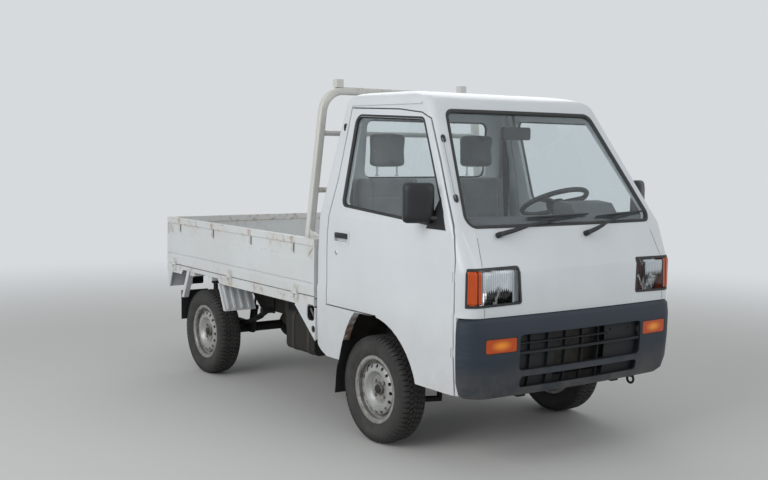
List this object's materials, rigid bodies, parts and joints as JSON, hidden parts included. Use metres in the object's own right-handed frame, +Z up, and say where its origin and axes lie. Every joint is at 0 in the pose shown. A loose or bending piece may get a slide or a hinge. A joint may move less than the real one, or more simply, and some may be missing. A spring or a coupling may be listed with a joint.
{
  "type": "small cab-over pickup truck",
  "caption": "Compact cab-over pickup with a drop-side load bed, a tubular guard behind the cab, hinged doors and gates, steered front wheels and worn white paint.",
  "frame": {"origin": "on the ground on the centre line, 12 mm ahead of the middle of the overall length", "axes": "+Z up, front of the truck towards -Y, the driver's left side towards +X"},
  "size_m": [1.594, 3.1999, 1.83],
  "materials": {
    "cab_paint": "white enamel, gloss, lightly dusty",
    "bed_paint": "cream enamel, worn, rust at the edges",
    "bumper_plastic": "moulded, dark blue-grey",
    "black_plastic": "moulded, black",
    "black_rubber": "matt",
    "frame_paint": "black underbody paint, dusty",
    "wheel_paint": "silver-grey, some rust",
    "tyre_rubber": "matt, dusty",
    "window_glass": "clear",
    "lamp_glass": "clear, fluted",
    "amber_lens": "amber",
    "red_lens": "red",
    "seat_fabric": "grey woven cloth",
    "dash_plastic": "dark grey",
    "bare_steel": "machined",
    "iron": "cast, dusty"
  },
  "bodies": {
    "chassis": {"roof": "cab_paint", "front_panel": "cab_paint", "cab_rear_wall": "cab_paint", "cab_side_right": "cab_paint", "cab_side_left": "cab_paint", "cab_glass": "window_glass", "cab_floor": "cab_paint", "dashboard": "dash_plastic", "steering_column": "frame_paint", "seat_cushions": "seat_fabric", "seat_backs": "seat_fabric", "headrests": "seat_fabric", "inner_mirror": "black_plastic", "wipers": "black_plastic", "front_bumper": "bumper_plastic", "bumper_grille": "bumper_plastic", "turn_signals": "amber_lens", "headlight_bezels": "black_rubber", "headlight_lenses": "lamp_glass", "corner_lamps": "amber_lens", "ladder_frame": "frame_paint", "bed_floor": "bed_paint", "bed_front_wall": "bed_paint", "guard_frame": "bed_paint", "side_skirts": "cab_paint", "fender_stays": "bed_paint", "mud_flaps": "black_rubber", "rear_lamps": "red_lens", "engine_block": "iron", "rear_axle": "frame_paint", "leaf_springs": "frame_paint", "fuel_tank": "frame_paint", "exhaust": "iron", "front_suspension": "frame_paint", "rack_housing": "frame_paint"},
    "right_door": {"door_right": "cab_paint", "door_glass_right": "window_glass", "door_mirror_right": "black_plastic"},
    "left_door": {"door_left": "cab_paint", "door_glass_left": "window_glass", "door_mirror_left": "black_plastic"},
    "steering": {"steering_wheel": "black_plastic"},
    "left_gate": {"side_gate_left": "bed_paint"},
    "right_gate": {"side_gate_right": "bed_paint"},
    "rear_gate": {"tailgate": "bed_paint"},
    "left_knuckle": {"knuckle_left": "bare_steel"},
    "right_knuckle": {"knuckle_right": "bare_steel"},
    "rack": {"steering_rack": "bare_steel"},
    "front_left_wheel": {"wheel_front_left": "wheel_paint", "tyre_front_left": "tyre_rubber"},
    "front_right_wheel": {"wheel_front_right": "wheel_paint", "tyre_front_right": "tyre_rubber"},
    "rear_left_wheel": {"wheel_rear_left": "wheel_paint", "tyre_rear_left": "tyre_rubber"},
    "rear_right_wheel": {"wheel_rear_right": "wheel_paint", "tyre_rear_right": "tyre_rubber"}
  },
  "joints": [
    {"name": "right_door_swing", "type": "hinge", "parent": "chassis", "child": "right_door", "pos_m": [-0.682, -1.4417, 0.73], "axis": [0, 0, 1], "range_deg": [0, 65]},
    {"name": "left_door_swing", "type": "hinge", "parent": "chassis", "child": "left_door", "pos_m": [0.682, -1.4417, 0.73], "axis": [0, 0, -1], "range_deg": [0, 65]},
    {"name": "left_gate_drop", "type": "hinge", "parent": "chassis", "child": "left_gate", "pos_m": [0.698, 0.7, 0.6658], "axis": [0, 1, 0], "range_deg": [0, 175]},
    {"name": "right_gate_drop", "type": "hinge", "parent": "chassis", "child": "right_gate", "pos_m": [-0.698, 0.7, 0.6658], "axis": [0, -1, 0], "range_deg": [0, 175]},
    {"name": "rear_gate_drop", "type": "hinge", "parent": "chassis", "child": "rear_gate", "pos_m": [0, 1.605, 0.6658], "axis": [-1, 0, 0], "range_deg": [0, 175]},
    {"name": "steering_turn", "type": "hinge", "parent": "chassis", "child": "steering", "pos_m": [0.305, -1.05, 1.19], "axis": [0, 0.4226, 0.9063], "range_deg": [-560, 560]},
    {"name": "left_knuckle_steer", "type": "hinge", "parent": "chassis", "child": "left_knuckle", "pos_m": [0.535, -0.812, 0.19], "axis": [-0.1441, 0, 0.9896], "range_deg": [-35, 35]},
    {"name": "right_knuckle_steer", "type": "hinge", "parent": "chassis", "child": "right_knuckle", "pos_m": [-0.535, -0.812, 0.19], "axis": [0.1441, 0, 0.9896], "range_deg": [-35, 35]},
    {"name": "rack_slide", "type": "slide", "parent": "chassis", "child": "rack", "axis": [1, 0, 0], "range_m": [-0.07, 0.07]},
    {"name": "front_left_wheel_spin", "type": "hinge", "parent": "left_knuckle", "child": "front_left_wheel", "pos_m": [0.602, -0.812, 0.267], "axis": [1, 0, 0], "continuous": true},
    {"name": "front_right_wheel_spin", "type": "hinge", "parent": "right_knuckle", "child": "front_right_wheel", "pos_m": [-0.602, -0.812, 0.267], "axis": [1, 0, 0], "continuous": true},
    {"name": "rear_left_wheel_spin", "type": "hinge", "parent": "chassis", "child": "rear_left_wheel", "pos_m": [0.602, 1.088, 0.267], "axis": [1, 0, 0], "continuous": true},
    {"name": "rear_right_wheel_spin", "type": "hinge", "parent": "chassis", "child": "rear_right_wheel", "pos_m": [-0.602, 1.088, 0.267], "axis": [1, 0, 0], "continuous": true}
  ],
  "couplings": [
    {"joint": "left_knuckle_steer", "follows": "steering_turn", "ratio": 0.0625},
    {"joint": "right_knuckle_steer", "follows": "steering_turn", "ratio": 0.0625},
    {"joint": "rack_slide", "follows": "steering_turn", "m_per_rad": 0.00696}
  ]
}
